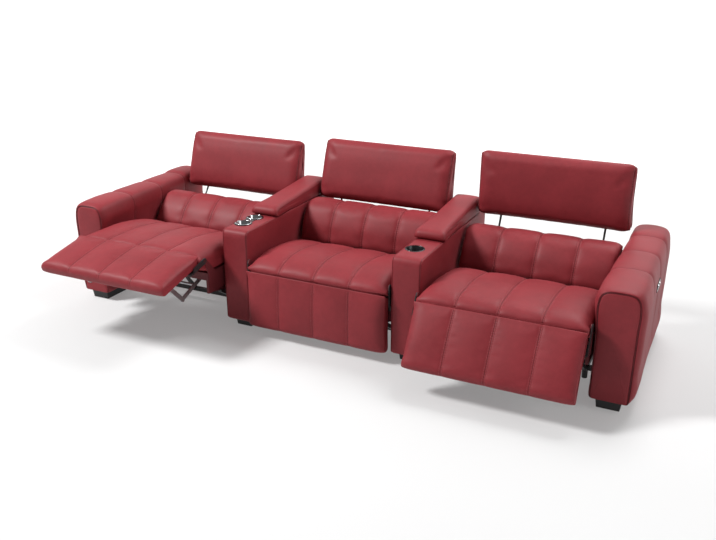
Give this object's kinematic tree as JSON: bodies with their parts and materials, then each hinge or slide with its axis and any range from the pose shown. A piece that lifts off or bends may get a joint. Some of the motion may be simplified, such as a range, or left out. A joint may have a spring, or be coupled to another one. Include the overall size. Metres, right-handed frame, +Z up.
{
  "type": "home theater sofa",
  "caption": "Powered recliner theater sofa in red leather: reclining seats with lifting footrests and headrests, between padded arms and cup holder consoles.",
  "frame": {"origin": "on the floor, below the middle of the overall box in width and depth, as pictured", "axes": "+X along the sofa to the sitter's left-hand end as seen from the front right, +Y to the back, +Z up"},
  "size_m": [3.356, 1.5676, 0.9758],
  "materials": {
    "red_leather": "satin",
    "wrapped_frame": "matte",
    "zinc_steel": "satin",
    "black_steel": "satin",
    "polished_steel": "polished",
    "black_plastic": "satin",
    "black_feet": "matte"
  },
  "bodies": {
    "root": {"arm_left": "red_leather", "arm_front_panel_left": "red_leather", "arm_foot_left": "black_feet", "console_left": "red_leather", "console_foot_left": "black_feet", "lid_hinge_left": "black_steel", "control_panel_left": "black_plastic", "arm_right": "red_leather", "arm_front_panel_right": "red_leather", "arm_foot_right": "black_feet", "console_right": "red_leather", "console_foot_right": "black_feet", "lid_hinge_right": "black_steel", "control_panel_right": "black_plastic", "cup_tray_left": "black_plastic", "cup_left_front": "polished_steel", "cup_left_rear": "polished_steel", "cup_right": "black_plastic", "base_frame_left": "zinc_steel", "actuator_left": "black_plastic", "base_frame_middle": "zinc_steel", "actuator_middle": "black_plastic", "base_frame_right": "zinc_steel", "actuator_right": "black_plastic"},
    "seat_left": {"seat_frame_left": "wrapped_frame", "seat_cushion_left": "red_leather"},
    "footrest_left": {"footrest_board_left": "zinc_steel", "footrest_pad_left": "red_leather"},
    "lift_links_left": {"lift_links_left": "zinc_steel"},
    "push_links_left": {"push_links_left": "zinc_steel"},
    "backrest_left": {"back_shell_left": "red_leather", "back_cushion_left": "red_leather"},
    "headrest_bracket_left": {"headrest_bracket_left": "black_steel"},
    "headrest_left": {"headrest_pad_left": "red_leather"},
    "seat_middle": {"seat_frame_middle": "wrapped_frame", "seat_cushion_middle": "red_leather"},
    "footrest_middle": {"footrest_board_middle": "zinc_steel", "footrest_pad_middle": "red_leather"},
    "lift_links_middle": {"lift_links_middle": "zinc_steel"},
    "push_links_middle": {"push_links_middle": "zinc_steel"},
    "backrest_middle": {"back_shell_middle": "red_leather", "back_cushion_middle": "red_leather"},
    "headrest_bracket_middle": {"headrest_bracket_middle": "black_steel"},
    "headrest_middle": {"headrest_pad_middle": "red_leather"},
    "seat_right": {"seat_frame_right": "wrapped_frame", "seat_cushion_right": "red_leather"},
    "footrest_right": {"footrest_board_right": "zinc_steel", "footrest_pad_right": "red_leather"},
    "lift_links_right": {"lift_links_right": "zinc_steel"},
    "push_links_right": {"push_links_right": "zinc_steel"},
    "backrest_right": {"back_shell_right": "red_leather", "back_cushion_right": "red_leather"},
    "headrest_bracket_right": {"headrest_bracket_right": "black_steel"},
    "headrest_right": {"headrest_pad_right": "red_leather"},
    "console_lid_left": {"console_lid_left": "red_leather"},
    "open_button_left": {"open_button_left": "polished_steel"},
    "close_button_left": {"close_button_left": "polished_steel"},
    "console_lid_right": {"console_lid_right": "red_leather"},
    "open_button_right": {"open_button_right": "polished_steel"},
    "close_button_right": {"close_button_right": "polished_steel"}
  },
  "joints": [
    {"name": "recline_slide_left", "type": "slide", "parent": "root", "child": "seat_left", "axis": [0, -0.9795, 0.2017], "range_m": [-0.17357, 0]},
    {"name": "footrest_hinge_left", "type": "hinge", "parent": "seat_left", "child": "footrest_left", "pos_m": [-1.027, -0.42123, 0.455], "axis": [-1, 0, 0], "range_deg": [-76.51, 0.01]},
    {"name": "lift_link_hinge_left", "type": "hinge", "parent": "seat_left", "child": "lift_links_left", "pos_m": [-1.027, -0.29623, 0.325], "axis": [-1, 0, 0], "range_deg": [-76.51, 0.01]},
    {"name": "push_link_hinge_left", "type": "hinge", "parent": "lift_links_left", "child": "push_links_left", "pos_m": [-1.027, -0.51287, 0.24214], "axis": [-1, 0, 0], "range_deg": [-0.01, 76.51]},
    {"name": "backrest_recline_left", "type": "hinge", "parent": "seat_left", "child": "backrest_left", "pos_m": [-1.027, 0.07377, 0.225], "axis": [-1, 0, 0], "range_deg": [-20.51, 0.01]},
    {"name": "headrest_lift_left", "type": "slide", "parent": "backrest_left", "child": "headrest_bracket_left", "axis": [0, 0.6129, 0.7902], "range_m": [-0.105, 0]},
    {"name": "headrest_tilt_left", "type": "hinge", "parent": "headrest_bracket_left", "child": "headrest_left", "pos_m": [-1.027, 0.64502, 0.56151], "axis": [1, 0, 0], "range_deg": [-21, 4]},
    {"name": "recline_slide_middle", "type": "slide", "parent": "root", "child": "seat_middle", "axis": [0, -0.9795, 0.2017], "range_m": [0, 0.17357]},
    {"name": "footrest_hinge_middle", "type": "hinge", "parent": "seat_middle", "child": "footrest_middle", "pos_m": [0, -0.25123, 0.42], "axis": [-1, 0, 0], "range_deg": [-0.01, 76.51]},
    {"name": "lift_link_hinge_middle", "type": "hinge", "parent": "seat_middle", "child": "lift_links_middle", "pos_m": [0, -0.12623, 0.29], "axis": [-1, 0, 0], "range_deg": [-0.01, 76.51]},
    {"name": "push_link_hinge_middle", "type": "hinge", "parent": "lift_links_middle", "child": "push_links_middle", "pos_m": [0, -0.09623, 0.06], "axis": [-1, 0, 0], "range_deg": [-76.51, 0.01]},
    {"name": "backrest_recline_middle", "type": "hinge", "parent": "seat_middle", "child": "backrest_middle", "pos_m": [0, 0.24377, 0.19], "axis": [-1, 0, 0], "range_deg": [-0.01, 20.51]},
    {"name": "headrest_lift_middle", "type": "slide", "parent": "backrest_middle", "child": "headrest_bracket_middle", "axis": [0, 0.2974, 0.9548], "range_m": [0, 0.105]},
    {"name": "headrest_tilt_middle", "type": "hinge", "parent": "headrest_bracket_middle", "child": "headrest_middle", "pos_m": [0, 0.62977, 0.605], "axis": [1, 0, 0], "range_deg": [0, 25]},
    {"name": "recline_slide_right", "type": "slide", "parent": "root", "child": "seat_right", "axis": [0, -0.9795, 0.2017], "range_m": [-0.06897, 0.10459]},
    {"name": "footrest_hinge_right", "type": "hinge", "parent": "seat_right", "child": "footrest_right", "pos_m": [1.027, -0.31878, 0.43391], "axis": [-1, 0, 0], "range_deg": [-30.41, 46.11]},
    {"name": "lift_link_hinge_right", "type": "hinge", "parent": "seat_right", "child": "lift_links_right", "pos_m": [1.027, -0.19379, 0.30391], "axis": [-1, 0, 0], "range_deg": [-30.41, 46.11]},
    {"name": "push_link_hinge_right", "type": "hinge", "parent": "lift_links_right", "child": "push_links_right", "pos_m": [1.027, -0.2843, 0.09035], "axis": [-1, 0, 0], "range_deg": [-46.11, 30.41]},
    {"name": "backrest_recline_right", "type": "hinge", "parent": "seat_right", "child": "backrest_right", "pos_m": [1.027, 0.17622, 0.20391], "axis": [-1, 0, 0], "range_deg": [-8.16, 12.36]},
    {"name": "headrest_lift_right", "type": "slide", "parent": "backrest_right", "child": "headrest_bracket_right", "axis": [0, 0.4297, 0.903], "range_m": [-0.088, 0.017]},
    {"name": "headrest_tilt_right", "type": "hinge", "parent": "headrest_bracket_right", "child": "headrest_right", "pos_m": [1.027, 0.65494, 0.63949], "axis": [1, 0, 0], "range_deg": [-25, 0]},
    {"name": "console_lid_hinge_left", "type": "hinge", "parent": "root", "child": "console_lid_left", "pos_m": [-0.5135, 0.70127, 0.5993], "axis": [-1, 0, 0], "range_deg": [0, 75]},
    {"name": "open_button_press_left", "type": "slide", "parent": "root", "child": "open_button_left", "axis": [1, 0, 0], "range_m": [0, 0.0015], "stiffness_N_per_m": 800},
    {"name": "close_button_press_left", "type": "slide", "parent": "root", "child": "close_button_left", "axis": [1, 0, 0], "range_m": [0, 0.0015], "stiffness_N_per_m": 800},
    {"name": "console_lid_hinge_right", "type": "hinge", "parent": "root", "child": "console_lid_right", "pos_m": [0.5135, 0.70127, 0.5993], "axis": [-1, 0, 0], "range_deg": [0, 75]},
    {"name": "open_button_press_right", "type": "slide", "parent": "root", "child": "open_button_right", "axis": [-1, 0, 0], "range_m": [0, 0.0015], "stiffness_N_per_m": 800},
    {"name": "close_button_press_right", "type": "slide", "parent": "root", "child": "close_button_right", "axis": [-1, 0, 0], "range_m": [0, 0.0015], "stiffness_N_per_m": 800}
  ],
  "couplings": [
    {"joint": "footrest_hinge_left", "follows": "recline_slide_left", "rad_per_m": 7.6926},
    {"joint": "lift_link_hinge_left", "follows": "recline_slide_left", "rad_per_m": 7.6926},
    {"joint": "push_link_hinge_left", "follows": "recline_slide_left", "rad_per_m": -7.6926},
    {"joint": "backrest_recline_left", "follows": "recline_slide_left", "rad_per_m": 2.0614},
    {"joint": "footrest_hinge_middle", "follows": "recline_slide_middle", "rad_per_m": 7.6926},
    {"joint": "lift_link_hinge_middle", "follows": "recline_slide_middle", "rad_per_m": 7.6926},
    {"joint": "push_link_hinge_middle", "follows": "recline_slide_middle", "rad_per_m": -7.6926},
    {"joint": "backrest_recline_middle", "follows": "recline_slide_middle", "rad_per_m": 2.0614},
    {"joint": "footrest_hinge_right", "follows": "recline_slide_right", "rad_per_m": 7.6926},
    {"joint": "lift_link_hinge_right", "follows": "recline_slide_right", "rad_per_m": 7.6926},
    {"joint": "push_link_hinge_right", "follows": "recline_slide_right", "rad_per_m": -7.6926},
    {"joint": "backrest_recline_right", "follows": "recline_slide_right", "rad_per_m": 2.0614}
  ]
}
